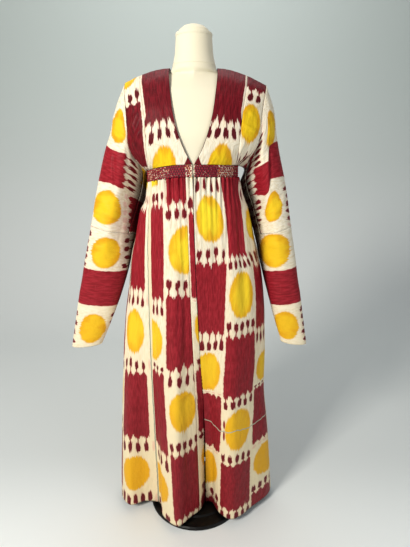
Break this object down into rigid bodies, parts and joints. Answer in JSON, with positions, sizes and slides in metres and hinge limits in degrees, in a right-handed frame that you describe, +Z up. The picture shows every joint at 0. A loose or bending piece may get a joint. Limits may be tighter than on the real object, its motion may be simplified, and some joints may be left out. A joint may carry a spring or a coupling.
{
  "type": "gathered ikat robe (chapan, munisak cut) on a limbless dress form with a stand",
  "caption": "Long ikat silk robe with open front, smocked waist and gathered skirt, worn by a limbless dress form on a round stand.",
  "frame": {"origin": "centre of the stand's underside, on the floor", "axes": "+Z up, the robe's open front faces -Y, the wearer's right side lies at -X"},
  "size_m": [0.757, 0.3598, 1.527],
  "materials": {
    "ikat_silk": "satin",
    "ikat_silk_skirt": "satin",
    "smocked_silk": "satin",
    "form_jersey": "matte",
    "stand_enamel": "gloss"
  },
  "bodies": {
    "root": {"bodice_right_centre_strip": "ikat_silk", "bodice_right_side_strip": "ikat_silk", "bodice_left_centre_strip": "ikat_silk", "bodice_left_side_strip": "ikat_silk", "waistband_right": "smocked_silk", "waistband_left": "smocked_silk", "skirt_edge_strip": "ikat_silk_skirt", "skirt_front_right": "ikat_silk_skirt", "skirt_side_right": "ikat_silk_skirt", "skirt_back": "ikat_silk_skirt", "skirt_side_left": "ikat_silk_skirt", "skirt_front_left": "ikat_silk_skirt", "sleeve_right_upper": "ikat_silk", "sleeve_right_gusset": "ikat_silk", "sleeve_right_lower": "ikat_silk", "sleeve_left_upper": "ikat_silk", "sleeve_left_gusset": "ikat_silk", "sleeve_left_lower": "ikat_silk", "form_torso": "form_jersey", "form_neck_cap": "form_jersey", "stand_foot": "stand_enamel", "stand_pole": "stand_enamel"}
  },
  "joints": []
}
